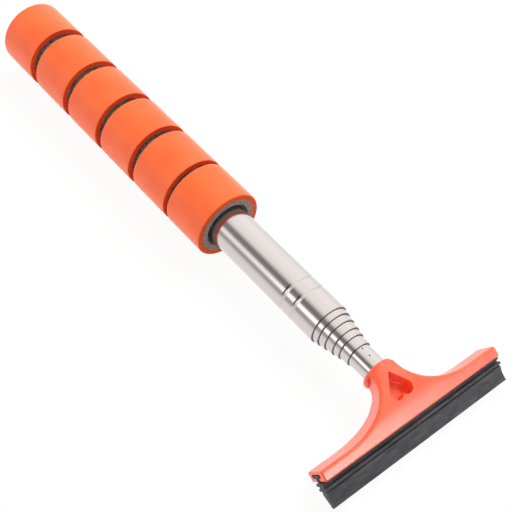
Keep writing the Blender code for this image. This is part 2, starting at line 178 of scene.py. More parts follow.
@dataclass(frozen=True)
class Finish:
    """A finish for a slot of the record: its first grain mottles colour and gloss, and its last makes bumps.

    One colour or one roughness is the same all over. Two of them follow the mottle between its two levels.
    """

    name: str
    slot: str
    colours: tuple[str, ...]
    roughness: tuple[float, ...]
    grains: tuple[Grain, ...]
    colour_levels: tuple[float, float] = (0.35, 0.65)
    gloss_levels: tuple[float, float] = (0.3, 0.7)
    bump: float = 0.5
    bump_depth: float = 0.01 * MM
    pore: str = ""
    pore_levels: tuple[float, float] = (0.3, 0.5)
    pore_share: float = 0.4
    metallic: float = 0.0
    sheen: float = 0.0
    sheen_tint: str = "FFE3D2"
    coat: float = 0.0
    soft_gloss: float = 0.3

    def material(self) -> Material:
        """Find the finish's material, or make it at its first use.

        Returns:
            The material.
        """
        made = bpy.data.materials.get(self.name)
        if made is None:
            made = bpy.data.materials.new(self.name)
            made.use_nodes = True
            tree = made.node_tree
            place = add_node(tree, "TexCoord").outputs["Object"]
            set_inputs(tree, tree.nodes["Principled BSDF"], self.shading(tree, place))
        return made

    def shading(self, tree: NodeTree, place: NodeSocket) -> dict:
        """Lay out the nodes of the colour, the gloss and the bumps.

        Args:
            tree: The material's node tree.
            place: The object coordinates, in metres.

        Returns:
            What the inputs of the Principled shader get.
        """
        noises = []
        for grain in self.grains:
            scale = [1 / length for length in grain.size]
            scaled = add_node(tree, "Mapping", {"Vector": place, "Scale": scale})
            noises.append(add_node(tree, "TexNoise", {
                "Vector": scaled, "Scale": 1.0, "Detail": grain.detail, "Roughness": grain.roughness,
                "Distortion": grain.distortion}))
        mottle, bumps = noises[0], noises[-1]
        colour, roughness = linear(self.colours[0]), self.roughness[0]
        if len(self.colours) > 1:
            stops = list(zip(self.colour_levels, map(linear, self.colours)))
            colour = add_node(tree, "ValToRGB", (mottle,), stops)
        if self.pore:
            pores = add_node(tree, "MapRange", (bumps, *self.pore_levels, self.pore_share, 0.0))
            # A Mix node's colour sockets share their names with its number sockets, so they go by number.
            pitted = add_node(tree, "Mix", {0: pores, 6: colour, 7: linear(self.pore)}, data_type='RGBA')
            colour = pitted.outputs[2]
        if len(self.roughness) > 1:
            roughness = add_node(tree, "MapRange", (mottle, *self.gloss_levels, *self.roughness))
        normal = add_node(tree, "Bump", {"Height": bumps, "Strength": self.bump, "Distance": self.bump_depth})
        return {"Base Color": colour, "Roughness": roughness, "Normal": normal, "Metallic": self.metallic,
                "Sheen Weight": self.sheen, "Sheen Roughness": self.soft_gloss,
                "Sheen Tint": linear(self.sheen_tint),
                "Coat Weight": self.coat, "Coat Roughness": self.soft_gloss}


# Orange foam skin, ground to shape: saturated, dry and slightly blotchy, with fine cells, drawn coarser so
# that they show, and a pale sheen where it is seen along its surface
BLOTCHES = Grain((14.0 * MM,) * 3, 3.0)
FOAM_SKIN = Finish("orange_nbr_foam", "orange_foam", ("F7622C", "F96C36"), (0.45,),
                   (BLOTCHES, Grain((0.5 * MM,) * 3, 4.0)), colour_levels=(0.35, 0.68),
                   bump=0.6, bump_depth=0.03 * MM, pore="E65623", sheen=0.6)
# The skin's cut edges: open cells, drawn coarser too, and none of the skin's sheen: a deeper, redder orange
CUT_SKIN = replace(FOAM_SKIN, name="cut_orange_foam", colours=("EC4816", "F0541E"), roughness=(0.9,),
                   grains=(BLOTCHES, Grain((0.8 * MM,) * 3, 4.0)), bump_depth=0.12 * MM, pore="C4380F",
                   sheen=0.0)
# The cut edge round the grip's mouth: the same cells, in a greyer, browner orange that is painted shade on
# this end face
SHADED_RIM_SKIN = replace(CUT_SKIN, name="handled_orange_foam", colours=("E4531F", "E85F29"), pore="BE4118")
# Grey inner foam, cut with a blade: a dull, even grey that takes up the light, with its cells drawn coarser
CUT_FOAM = Finish("grey_cut_foam", "grey_foam", ("6B6460", "A9A19C"), (0.95,),
                  (Grain((0.6 * MM,) * 3, 5.0, roughness=0.6),), colour_levels=(0.32, 0.66),
                  bump=0.8, bump_depth=0.08 * MM)
# The same foam ground open on the floors of the grooves: pale cell walls among pits, the pits painted far
# darker and browner than on the cut foam, as painted shade in the grooves
GROOVE_FOAM_WITH_PAINTED_SHADE = replace(CUT_FOAM, name="grey_ground_foam_painted_shade", colours=("2E211B", "A8978A"),
                      grains=(Grain((0.42 * MM,) * 3, 5.0, roughness=0.6),), colour_levels=(0.44, 0.62),
                      bump_depth=0.3 * MM)
# Stainless tube, drawn and polished: clear reflections with soft edges, which faint lines blur here and
# there. The lines are drawn coarser so that they show
STEEL = Finish("polished_stainless_steel", "polished_steel", ("CCC5C2",), (0.09, 0.16),
               (Grain((24.0 * MM, 0.4 * MM, 0.4 * MM), 3.0),), bump_depth=0.006 * MM, metallic=1.0)
# Steel cut or punched, and left as it came from the tool: dull and grey. On the tubes' rolled lips it is also
# painted shade, a dark line for the gap between the lip and the next section
RAW_STEEL_AND_GAP_SHADE = replace(STEEL, name="raw_steel_and_painted_gap_shade", colours=("86807D",), roughness=(0.45, 0.6))
# Brass bushes, drawn: yellow and satin
BRASS = replace(STEEL, name="drawn_brass", slot="brass", colours=("C8A55E",), roughness=(0.22, 0.38))
# Head: moulded ABS with faint flow marks, a red orange whose broad gloss turns pink under a lamp
HEAD_PLASTIC = Finish("orange_abs", "orange_plastic", ("F65026", "FE5B2E"), (0.27, 0.36),
                      (Grain((9.0 * MM,) * 3, 2.0, distortion=0.6), Grain((3.5 * MM,) * 3, 2.0)),
                      bump=0.3, bump_depth=0.003 * MM, coat=0.5)
# Black plug: moulded nylon, nearly matt
PLUG_PLASTIC = replace(HEAD_PLASTIC, name="black_nylon", slot="black_plastic", colours=("242323", "2E2D2D"),
                       roughness=(0.42, 0.55), coat=0.0)
# Blade: charcoal EPDM rubber, satin, with extrusion lines, drawn coarser so that they show, and pale smears
# of dust along it
RUBBER = Finish("charcoal_epdm_rubber", "charcoal_rubber", ("302F32", "575659"), (0.55, 0.72),
                (Grain((2.2 * MM, 9.0 * MM, 2.2 * MM), 5.0, roughness=0.6, distortion=0.4),
                 Grain((0.4 * MM, 9.0 * MM, 0.4 * MM), 2.0)),
                colour_levels=(0.4, 0.68), gloss_levels=(0.4, 0.7), bump=0.3, bump_depth=0.02 * MM)


def pick(piece: Object) -> None:
    """Make a piece the only selected one, and the active one.

    Args:
        piece: The piece.
    """
    bpy.ops.object.select_all(action='DESELECT')
    piece.select_set(True)
    bpy.context.view_layer.objects.active = piece


def clean_mesh() -> None:
    """Merge the doubles of the open piece and point its faces outwards."""
    bpy.ops.mesh.select_all(action='SELECT')
    bpy.ops.mesh.remove_doubles(threshold=WELD)
    bpy.ops.mesh.normals_make_consistent(inside=False)


def close_piece() -> None:
    """Merge doubles, point the faces outwards and leave edit mode."""
    clean_mesh()
    bpy.ops.object.mode_set(mode='OBJECT')


def draw_loop(name: str, points: Sequence[Vector]) -> Object:
    """Draw a closed line, by extruding a single vertex from point to point and back to the first.

    Args:
        name: The new piece's name.
        points: The line's corners.

    Returns:
        The new piece, open in edit mode with the whole line selected.
    """
    bpy.ops.object.select_all(action='DESELECT')
    bpy.ops.mesh.primitive_plane_add(size=MM)
    piece = bpy.context.object
    piece.name = piece.data.name = name
    bpy.ops.object.mode_set(mode='EDIT')
    bpy.ops.mesh.select_mode(type='VERT')
    bpy.ops.mesh.select_all(action='SELECT')
    bpy.ops.mesh.merge(type='CENTER')
    bpy.ops.transform.translate(value=points[0])
    corners = [*points, points[0]]
    for start, end in zip(corners, corners[1:]):
        bpy.ops.mesh.extrude_region_move(TRANSFORM_OT_translate={"value": end - start})
    bpy.ops.mesh.select_all(action='SELECT')
    return piece


def turn(name: str, profile: Outline, sides: int, height: float) -> Object:
    """Spin a profile about the handle's axis.

    Args:
        name: The new piece's name.
        profile: Corners as places along X and radii.
        sides: Steps of the spin.
        height: The axis's height above the floor.

    Returns:
        The finished round piece.
    """
    piece = draw_loop(name, [Vector((along, 0.0, height + radius)) for along, radius in profile])
    bpy.ops.mesh.spin(steps=sides, angle=math.tau, center=(0.0, 0.0, height), axis=(1.0, 0.0, 0.0))
    close_piece()
    return piece


def extrude_outline(name: str, points: Sequence[Vector], reach: Vector) -> Object:
    """Fill an outline and extrude it into a solid.

    Args:
        name: The new piece's name.
        points: The outline's corners.
        reach: The way and distance of the extrusion.

    Returns:
        The solid, open in edit mode.
    """
    piece = draw_loop(name, points)
    bpy.ops.mesh.remove_doubles(threshold=WELD)
    bpy.ops.mesh.edge_face_add()
    bpy.ops.mesh.extrude_region_move(TRANSFORM_OT_translate={"value": reach})
    clean_mesh()
    return piece


def round_edges(piece: Object, test: Callable[[BMEdge], bool], radius: float, segments: int,
                clamp: bool = False) -> None:
    """Round some edges of the open piece.

    Args:
        piece: The piece that is open in edit mode.
        test: Says whether an edge is rounded.
        radius: The radius of the round.
        segments: How many strips the round has.
        clamp: Whether rounds that would overlap are made smaller.
    """
    bpy.ops.mesh.select_mode(type='EDGE')
    bpy.ops.mesh.select_all(action='DESELECT')
    edges = [edge for edge in bmesh.from_edit_mesh(piece.data).edges if test(edge)]
    for edge in edges:
        edge.select_set(True)
    bmesh.update_edit_mesh(piece.data)
    log.info("%s: %d edges rounded", piece.name, len(edges))
    bpy.ops.mesh.bevel(offset=radius, segments=segments, profile=0.5, affect='EDGES', clamp_overlap=clamp)


def modify(piece: Object, kind: str, **settings) -> None:
    """Put a modifier on a piece and apply it.

    Args:
        piece: The piece.
        kind: The modifier's type.
        settings: Its properties.
    """
    pick(piece)
    modifier = piece.modifiers.new(kind.lower(), kind)
    for name, value in settings.items():
        setattr(modifier, name, value)
    bpy.ops.object.modifier_apply(modifier=modifier.name)


def combine(piece: Object, way: Cut, tool: Object) -> None:
    """Join a second solid to a piece or cut it out, and remove the second solid.

    Args:
        piece: The piece that changes.
        way: Join or cut out.
        tool: The second solid, whose material goes to the faces that it makes.
    """
    if not tool.data.materials:
        tool.data.materials.append(piece.data.materials[0])
    modify(piece, 'BOOLEAN', operation=way.value, object=tool, solver='EXACT', material_mode='TRANSFER')
    bpy.data.objects.remove(tool, do_unlink=True)


def roughen(piece: Object, size: float, depth: float) -> None:
    """Press shallow unevenness into a soft piece.

    Args:
        piece: The piece.
        size: The width of a dent or swelling.
        depth: The whole difference between dents and swellings.
    """
    clouds = bpy.data.textures.new(f"{piece.name}_unevenness", 'CLOUDS')
    clouds.noise_scale = size
    modify(piece, 'DISPLACE', texture=clouds, strength=depth, mid_level=0.5, texture_coords='LOCAL')


def smooth(piece: Object) -> None:
    """Shade a piece smooth, apart from its sharp edges."""
    pick(piece)
    bpy.ops.object.shade_smooth_by_angle(angle=SMOOTH_ANGLE)


def paint_faces(piece: Object, finishes: tuple[Finish, Finish], test: Callable[[MeshPolygon], bool]) -> None:
    """Give some faces of a piece a second finish.

    Args:
        piece: The piece, without materials yet.
        finishes: The finish of most faces, and of the ones that pass the test.
        test: Says whether a face gets the second finish.
    """
    for finish in finishes:
        piece.data.materials.append(finish.material())
    for face in piece.data.polygons:
        face.material_index = 1 if test(face) else 0


def dress(piece: Object, finish: Finish, body: Body, *nodes: str) -> None:
    """Give a piece its finish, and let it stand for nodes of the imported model.

    Args:
        piece: The finished mesh.
        finish: Its finish.
        body: The body that it rides on.
        nodes: The nodes that it replaces.
    """
    if not piece.data.materials:
        piece.data.materials.append(finish.material())
    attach(piece, body.value)
    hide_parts(*nodes)
    log.info("%s: %d faces on %s", piece.name, len(piece.data.polygons), body.value)


def refinish(node: Object, finish: Finish) -> None:
    """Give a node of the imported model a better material.

    Args:
        node: The node's object.
        finish: Its finish.
    """
    for slot in node.material_slots:
        slot.material = finish.material()
    log.info("%s: refinished in %s", node.name, finish.name)


def arc(along: float, radius: float, round_by: float, start: float, end: float, steps: int) -> Outline:
    """List the corners of an arc in a profile.

    Args:
        along: The arc centre's place along the profile.
        radius: The arc centre's distance from the axis.
        round_by: The arc's own radius.
        start: Its first angle in degrees, where 90 points away from the axis.
        end: Its last angle in degrees.
        steps: How many chords it has.

    Returns:
        Places along and radii.
    """
    angles = [math.radians(start + (end - start) * step / steps) for step in range(steps + 1)]
    return [(along + round_by * math.cos(angle), radius + round_by * math.sin(angle)) for angle in angles]


def spread(start: float, end: float, steps: int) -> list[float]:
    """List evenly spread places strictly between two ends."""
    return [start + (end - start) * step / steps for step in range(1, steps)]


def between(start: tuple[float, float], end: tuple[float, float], steps: int) -> Outline:
    """List evenly spread corners strictly between two corners."""
    return list(zip(spread(start[0], end[0], steps), spread(start[1], end[1], steps)))


def clamp(value: float, low: float = 0.0, high: float = 1.0) -> float:
    """Keep a value between two ends."""
    return min(max(value, low), high)


def mirrored(side: Outline) -> Outline:
    """Close one side of an outline with its mirror image."""
    return side + [(along, -across) for along, across in reversed(side)]


def distance_to_line(place: Vector, start: Vector, end: Vector) -> float:
    """Return how far a flat point is from a straight piece of an outline between two ends."""
    way = end - start
    return (place - start - way * clamp((place - start).dot(way) / way.length_squared)).length


def mouth_of_collar() -> float:
    """Return where the mouth of the head's collar is along X."""
    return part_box("rod")[1].x - ROD_IN_SOCKET


@dataclass
class FoamGrip:
    """The foam grip: six orange bands of skin on a grey core."""

    axis_height: float
    band_count: int = 6
    end_round: float = 0.55 * MM
    groove_round: float = 0.35 * MM
    core_radius: float = 12.4 * MM
    groove_floor: float = 11.8 * MM
    groove_corner: float = 10.8 * MM
    bore: float = 8.76 * MM
    mouth_radius: float = 9.9 * MM
    mouth_round: float = 0.3 * MM
    mouth_depth: float = 3.0 * MM
    end_wall: float = 8.0 * MM
    sides: int = 192
    edge_steps: int = 6
    cut_steps: int = 5
    mouth_steps: int = 6
    groove_steps: int = 9
    butt_steps: int = 18
    step_length: float = 1.2 * MM
    cut_facing: float = 0.8
    wear: tuple[tuple[float, float], ...] = ((6.0 * MM, 0.1 * MM), (1.0 * MM, 0.06 * MM))
    fuzz: float = 0.7 * MM
    fuzz_depth: float = 0.22 * MM
    fill: float = 0.95

    @property
    def inset(self) -> float:
        """How far the outside stays in, so that its unevenness doesn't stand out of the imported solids."""
        return self.fuzz_depth / 2

    def band_ends(self, number: int) -> tuple[float, float]:
        """Look up where a band starts and ends along the handle.

        Args:
            number: The band's number from the butt.

        Returns:
            The rear end and the front end.
        """
        low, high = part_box(f"grip_band_{number}")
        rear = low.x + self.inset if number == 1 else low.x
        front = high.x - self.inset if number == self.band_count else high.x
        return rear, front

    def is_cut(self, face: MeshPolygon) -> bool:
        """Say whether a face of a band was cut across the handle."""
        return abs(face.normal.x) > self.cut_facing

    def build_band(self, number: int) -> None:
        """Turn one band of the skin, with rounded edges and a hand-worn unevenness.

        Args:
            number: The band's number from the butt.
        """
        rear, front = self.band_ends(number)
        radius = self.axis_height - self.inset
        front_round = self.end_round if number == self.band_count else self.groove_round
        rear_round = self.end_round if number == 1 else self.groove_round
        inner_front, inner_rear = (front, self.core_radius), (rear, self.core_radius)
        front_edge = arc(front - front_round, radius - front_round, front_round, 0, 90, self.edge_steps)
        rear_edge = arc(rear + rear_round, radius - rear_round, rear_round, 90, 180, self.edge_steps)
        steps = round((front - rear) / self.step_length)
        profile = [inner_front, *between(inner_front, front_edge[0], self.cut_steps), *front_edge,
                   *between(front_edge[-1], rear_edge[0], steps), *rear_edge,
                   *between(rear_edge[-1], inner_rear, self.cut_steps), inner_rear]
        band = turn(f"foam_band_{number}", profile, self.sides, self.axis_height)
        # The front band's cut faces take the darker rim finish, which is painted shade on the grip's end face
        cut = SHADED_RIM_SKIN if number == self.band_count else CUT_SKIN
        paint_faces(band, (FOAM_SKIN, cut), self.is_cut)
        for size, depth in self.wear:
            roughen(band, size, depth)
        smooth(band)
        dress(band, FOAM_SKIN, Body.HANDLE, f"grip_band_{number}")

    def build_core(self) -> None:
        """Turn the grey core, with fuzzy groove floors and an open ring round the tube."""
        rear, front = self.band_ends(1)[0], self.band_ends(self.band_count)[1]
        lip = self.mouth_radius + self.mouth_round
        profile = [(rear + self.end_wall, 0.0), (rear + self.end_wall, self.bore)]
        profile += [(front - self.mouth_depth, self.bore), (front - self.mouth_depth, self.mouth_radius)]
        profile += arc(front - self.mouth_round, lip, self.mouth_round, 270, 360, self.edge_steps)
        profile += between((front, lip), (front, self.core_radius), self.mouth_steps)
        profile.append((front, self.core_radius))
        for number in range(self.band_count, 1, -1):
            groove_front = self.band_ends(number)[0]
            groove_rear = self.band_ends(number - 1)[1]
            high, low = (groove_front, self.groove_floor), (groove_rear, self.groove_corner)
            profile += [(groove_front, self.core_radius), high, *between(high, low, self.groove_steps),
                        low, (groove_rear, self.core_radius)]
        edge, centre = (rear, self.core_radius), (rear, 0.0)
        profile += [edge, *between(edge, centre, self.butt_steps), centre]
        core = turn("foam_core", profile, self.sides, self.axis_height)
        ends = rear + self.mouth_depth, front - 2 * self.mouth_depth
        # Between the ends the core's faces, the groove floors among them, take the darker foam, whose dark
        # pits are painted shade
        paint_faces(core, (CUT_FOAM, GROOVE_FOAM_WITH_PAINTED_SHADE), lambda face: ends[0] < face.center.x < ends[1])
        roughen(core, self.fuzz, self.fuzz_depth)
        smooth(core)
        dress(core, CUT_FOAM, Body.HANDLE, "grip_core")

    def build(self) -> None:
        """Build the bands and the core."""
        for number in range(1, self.band_count + 1):
            self.build_band(number)
        self.build_core()


@dataclass
class Telescope:
    """The telescopic tube: the main tube, five sliding sections and the rod."""

    axis_height: float
    main_radius: float = 8.7 * MM
    wall: float = 0.3 * MM
    radius_step: float = 0.625 * MM
    section_count: int = 7
    lip_gap: float = 0.11 * MM
    lip_length: float = 0.8 * MM
    lip_facing: float = 0.5
    beads_from_lip: tuple[float, float] = (12.0 * MM, 18.0 * MM)
    bead_width: float = 2.1 * MM
    bead_depth: float = 0.45 * MM
    bead_deepest: float = 0.62
    bead_inside: float = 0.2 * MM
    punch_places: tuple[float, float] = (8.2 * MM, 4.5 * MM)
    punch_radius: float = 0.29 * MM
    punch_tip: float = 0.12 * MM
    punch_depth: float = 0.22 * MM
    punch_sides: int = 24
    sides: int = 128
    lip_steps: int = 8
    bead_steps: int = 14
    edge_support: float = 0.15 * MM

    def radius(self, section: int) -> float:
        """Return a section's outer radius, where section 1 is the main tube."""
        return self.main_radius - (section - 1) * self.radius_step

    def bead(self, centre: float, radius: float, depth: float) -> Outline:
        """List the corners of a rolled ring groove from its front to its rear.

        Args:
            centre: The groove's middle along X.
            radius: The radius of the wall that it is rolled into.
            depth: How far the wall goes in.

        Returns:
            Places along X, each with its radius.
        """
        reach = self.bead_width / 2 + self.edge_support
        corners = [(centre + reach, radius)]
        for step in range(self.bead_steps + 1):
            share = step / self.bead_steps
            way_in = min(share / self.bead_deepest, (1.0 - share) / (1.0 - self.bead_deepest))
            sunk = depth * (1.0 - math.cos(math.pi * way_in)) / 2
            corners.append((centre + self.bead_width * (0.5 - share), radius - sunk))
        corners.append((centre - reach, radius))
        return corners

    def build_section(self, section: int, node: str, body: Body) -> None:
        """Turn a tube section with its rolled-in lip, and for the main tube its ring grooves.

        Args:
            section: The section's number, where 1 is the main tube.
            node: The node that it replaces.
            body: The body that it rides on.
        """
        rear, front = (corner.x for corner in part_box(node))
        outer = self.radius(section)
        bore = outer - self.wall
        lip = self.radius(section + 1) + self.lip_gap
        roll_start = front - (outer - lip)
        beads = self.beads_from_lip if section == 1 else ()
        profile = arc(roll_start, lip, outer - lip, 0, 90, self.lip_steps)
        profile.append((roll_start - self.edge_support, outer))
        for offset in beads:
            profile += self.bead(front - offset, outer, self.bead_depth)
        profile += [(rear, outer), (rear, bore)]
        for offset in reversed(beads):
            profile += reversed(self.bead(front - offset, bore, self.bead_inside))
        profile += [(front - self.lip_length, bore), (front - self.lip_length / 2, lip)]
        tube = turn(f"steel_{node}", profile, self.sides, self.axis_height)
        # The front of each rolled lip takes the dark raw steel, as painted shade of the gap between the lip
        # and the next section
        paint_faces(tube, (STEEL, RAW_STEEL_AND_GAP_SHADE),
                    lambda face: face.normal.x > self.lip_facing and face.center.x > roll_start)
        smooth(tube)
        dress(tube, STEEL, body, node)

    def build_rod(self) -> None:
        """Turn the rod, and sink the two punch marks that stake it to the head's stem."""
        rear, front = (corner.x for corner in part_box("rod"))
        outer = self.radius(self.section_count)
        bore = outer - self.wall
        profile = [(front, bore), (front, outer), (rear, outer), (rear, bore)]
        rod = turn("steel_rod", profile, self.sides, self.axis_height)
        rod.data.materials.append(STEEL.material())
        for offset in self.punch_places:
            bpy.ops.object.select_all(action='DESELECT')
            place = (mouth_of_collar() - offset, 0.0, self.axis_height + outer)
            bpy.ops.mesh.primitive_cone_add(vertices=self.punch_sides, radius1=self.punch_tip,
                                            radius2=2 * self.punch_radius, depth=2 * self.punch_depth,
                                            location=place)
            punch = bpy.context.object
            punch.data.materials.append(RAW_STEEL_AND_GAP_SHADE.material())
            combine(rod, Cut.CUT_OUT, punch)
        smooth(rod)
        dress(rod, STEEL, Body.ROD_AND_HEAD, "rod")

    def build(self, nodes: dict[str, Object]) -> None:
        """Build the tubes, and refinish the bushes and the plug inside them.

        Args:
            nodes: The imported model's nodes.
        """
        self.build_section(1, "main_tube", Body.HANDLE)
        for section in range(2, self.section_count):
            self.build_section(section, f"tube_section_{section}", Body[f"SECTION_{section}"])
        self.build_rod()
        for section in range(2, self.section_count + 1):
            refinish(nodes[f"guide_bush_{section}"], BRASS)
        refinish(nodes["base_plug"], PLUG_PLASTIC)


@dataclass
class MouldedHead:
    """The head: a collar on the rod, and a flared plate that bends down to the bar that holds the blade.

    Lengths along the head are counted from the collar's mouth. The plate is modelled flat, and then bent.
    """

    axis_height: float
    mouth: float
    collar_radius: float = 6.75 * MM
    collar_round: float = 0.9 * MM
    collar_length: float = 2.2 * MM
    socket_radius: float = 5.0 * MM
    socket_depth: float = 1.4 * MM
    stem_radius: float = 4.35 * MM
    stem_length: float = 14.0 * MM
    stem_chamfer: float = 0.5 * MM
    thickness: float = 10.6 * MM
    plate_from: float = 1.8 * MM
    neck_half_width: float = 6.2 * MM
    neck_front: float = 6.5 * MM
    neck_blend_end: float = 9.0 * MM
    front_roundness: float = 0.55
    bend_start: float = 1.9 * MM
    bend_radius: float = 25.0 * MM
    bend_angle: float = math.radians(32.0)
    flare_start: float = 3.2 * MM
    flare_reach: float = 23.8 * MM
    bar_length: float = 84.6 * MM
    bar_height: float = 4.2 * MM
    front_round: float = 1.1 * MM
    back_round: float = 0.9 * MM
    end_round: float = 0.8 * MM
    bottom_round: float = 0.5 * MM
    heart_width: float = 9.8 * MM
    heart_length: float = 10.6 * MM
    heart_depth: float = 4.7 * MM
    heart_tip: float = 2.8 * MM
    heart_lobe: float = 2.646 * MM
    heart_floor_round: float = 0.25 * MM
    rim_round: float = 0.2 * MM
    rim_error: float = 0.01 * MM
    channel_roof: float = 1.0 * MM
    channel_height: float = 1.6 * MM
    channel_half_width: float = 2.8 * MM
    channel_neck: float = 0.9 * MM
    channel_lip: float = 0.5 * MM
    mouth_half_width: float = 2.4 * MM
    flare_steps: int = 32
    bend_cuts: int = 28
    neck_cuts: int = 25
    lobe_steps: int = 20
    collar_steps: int = 8
    collar_sides: int = 96
    flank_strips: int = 7
    end_strips: int = 4
    floor_strips: int = 5
    rim_strips: int = 3

    @property
    def bend_end(self) -> float:
        """Length along the head at which the bend ends."""
        return self.bend_start + self.bend_radius * self.bend_angle

    @property
    def bar_bottom(self) -> float:
        """Length along the head at which the bar ends."""
        return self.bend_end + self.bar_height

    def turn_at(self, along: float) -> float:
        """Return how far the head has bent down at a length along it."""
        return clamp((along - self.bend_start) / self.bend_radius, high=self.bend_angle)

    def bend(self, along: float, across: float, through: float) -> Vector:
        """Place a point of the flat plate on the bent head.

        Args:
            along: Length along the head.
            across: Place along the blade.
            through: Height out of the plate's middle, towards its front.

        Returns:
            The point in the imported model's frame.
        """
        angle = self.turn_at(along)
        reach = self.bend_radius + through
        beyond = max(along - self.bend_end, 0.0)
        x = min(along, self.bend_start) + reach * math.sin(angle) + beyond * math.cos(angle)
        z = reach * math.cos(angle) - self.bend_radius - beyond * math.sin(angle)
        return Vector((self.mouth + x, across, self.axis_height + z))

    def frame_at(self, along: float) -> Matrix:
        """Work out the frame at a length along the head.

        Args:
            along: The length.

        Returns:
            The frame, with X on along the head, Y across it and Z out of its front.
        """
        angle = self.turn_at(along)
        onward = Vector((math.cos(angle), 0.0, -math.sin(angle)))
        outward = Vector((math.sin(angle), 0.0, math.cos(angle)))
        turned = Matrix((onward, outward.cross(onward), outward)).transposed().to_4x4()
        return Matrix.Translation(self.bend(along, 0.0, 0.0)) @ turned

    def half_width(self, along: float) -> float:
        """Return half the head's width, a quarter ellipse that spreads from the neck to the bar."""
        rise = clamp((along - self.flare_start) / (self.bend_end - self.flare_start))
        return self.neck_half_width + self.flare_reach * (1.0 - math.sqrt(1.0 - rise * rise))

    def plate_outline(self) -> list[Vector]:
        """List the outline of the flat plate.

        Returns:
            Its corners, on the plate's back.
        """
        span = self.bend_end - self.flare_start
        half = self.bar_length / 2
        side = [(self.plate_from, self.neck_half_width)]
        for step in range(self.flare_steps + 1):
            along = self.flare_start + span * math.sin(math.pi / 2 * step / self.flare_steps)
            side.append((along, self.half_width(along)))
        side += [(self.bend_end, half), (self.bar_bottom, half)]
        return [Vector((along, across, -self.thickness / 2)) for along, across in mirrored(side)]

    def on_flank(self, edge: BMEdge, level: float) -> bool:
        """Say whether an edge of the flat plate runs along a flank of the neck or the top of the bar.

        Args:
            edge: The edge.
            level: The height of the plate's front or back.

        Returns:
            True along the flanks and the top of the bar.
        """
        places = [vert.co for vert in edge.verts]
        on_level = all(abs(place.z - level) < WELD for place in places)
        above_bar = all(place.x < self.bend_end + WELD for place in places)
        at_start = all(place.x < self.plate_from + WELD for place in places)
        return on_level and above_bar and not at_start

    def on_end(self, edge: BMEdge) -> bool:
        """Say whether an edge of the flat plate lies round an end of the bar."""
        return all(abs(vert.co.y) > self.bar_length / 2 - WELD for vert in edge.verts)

    def on_bottom(self, edge: BMEdge) -> bool:
        """Say whether an edge of the flat plate lies round the bar's bottom."""
        return all(vert.co.x > self.bar_bottom - WELD for vert in edge.verts)

    def shape_point(self, place: Vector) -> Vector:
        """Move a point of the flat plate to the bent head, whose neck blends into the round collar.

        Args:
            place: The point on the flat plate.

        Returns:
            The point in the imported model's frame.
        """
        along, across, through = place
        half = self.thickness / 2
        near = clamp((self.neck_blend_end - along) / (self.neck_blend_end - self.plate_from))
        wide = clamp(across / self.half_width(along), low=-1.0)
        deep = through / half
        roundness = near
        if through > 0.0:
            roundness *= self.front_roundness
            through += near * deep * (self.neck_front - half)
        across -= roundness * across * (1.0 - math.sqrt(1.0 - deep * deep / 2))
        through -= roundness * through * (1.0 - math.sqrt(1.0 - wide * wide / 2))
        return self.bend(along, across, through)

    def build_plate(self) -> Object:
        """Extrude the flat plate, round its edges, cut it into strips and bend it.

        Returns:
            The bent plate.
        """
        half = self.thickness / 2
        plate = extrude_outline("moulded_head", self.plate_outline(), Vector((0.0, 0.0, self.thickness)))
        for level, radius in ((half, self.front_round), (-half, self.back_round)):
            round_edges(plate, lambda edge: self.on_flank(edge, level), radius, self.flank_strips)
        for test, radius in ((self.on_end, self.end_round), (self.on_bottom, self.bottom_round)):
            round_edges(plate, test, radius, self.end_strips)
        along = [*spread(self.plate_from, self.bend_end, self.bend_cuts), self.bend_end]
        across = spread(-self.neck_half_width, self.neck_half_width, self.neck_cuts)
        cuts = [(place, Vector((1.0, 0.0, 0.0))) for place in along]
        cuts += [(place, Vector((0.0, 1.0, 0.0))) for place in across]
        for place, normal in cuts:
            bpy.ops.mesh.select_all(action='SELECT')
            bpy.ops.mesh.bisect(plane_co=place * normal, plane_no=normal)
        close_piece()
        for vert in plate.data.vertices:
            vert.co = self.shape_point(vert.co)
        return plate

    def build_collar(self) -> Object:
        """Turn the rounded collar with its socket for the rod, and the stem that fills the rod.

        Returns:
            The collar and stem.
        """
        edge = self.collar_radius - self.collar_round
        profile = [(self.collar_length, 0.0)]
        for along, start in ((self.collar_length - self.collar_round, 0), (self.collar_round, 90)):
            profile += arc(along, edge, self.collar_round, start, start + 90, self.collar_steps)
        profile += [(0.0, self.socket_radius), (self.socket_depth, self.socket_radius)]
        profile += [(self.socket_depth, self.stem_radius)]
        profile += [(self.stem_chamfer - self.stem_length, self.stem_radius)]
        profile += [(-self.stem_length, self.stem_radius - self.stem_chamfer), (-self.stem_length, 0.0)]
        placed = [(self.mouth + along, radius) for along, radius in profile]
        return turn("collar_and_stem", placed, self.collar_sides, self.axis_height)

    def heart_frame(self) -> Matrix:
        """Work out the frame of the heart's floor.

        Returns:
            The frame, with X from the heart's tip, Y across it and Z out of the pocket.
        """
        middle = self.frame_at((self.heart_tip + self.bend_end) / 2).to_3x3()
        sunk = middle @ Vector((0.0, 0.0, self.thickness / 2 - self.heart_depth))
        return Matrix.Translation(self.bend(self.heart_tip, 0.0, 0.0) + sunk) @ middle.to_4x4()

    def heart_outline(self) -> Outline:
        """List the heart's outline: tangents from its tip to two lobes, and the arcs of the lobes.

        Returns:
            Places from the tip and across.
        """
        lobe = self.heart_lobe
        centre_x = self.heart_length - lobe
        centre_y = self.heart_width / 2 - lobe
        reach = math.hypot(centre_x, centre_y)
        touch = math.degrees(math.atan2(centre_y, centre_x) + math.asin(lobe / reach)) + 90.0
        cleft = math.degrees(math.acos(centre_y / lobe)) - 90.0
        side = arc(centre_x, centre_y, lobe, touch, cleft, self.lobe_steps)
        return [(0.0, 0.0)] + side + [(x, -y) for x, y in reversed(side[:-1])]

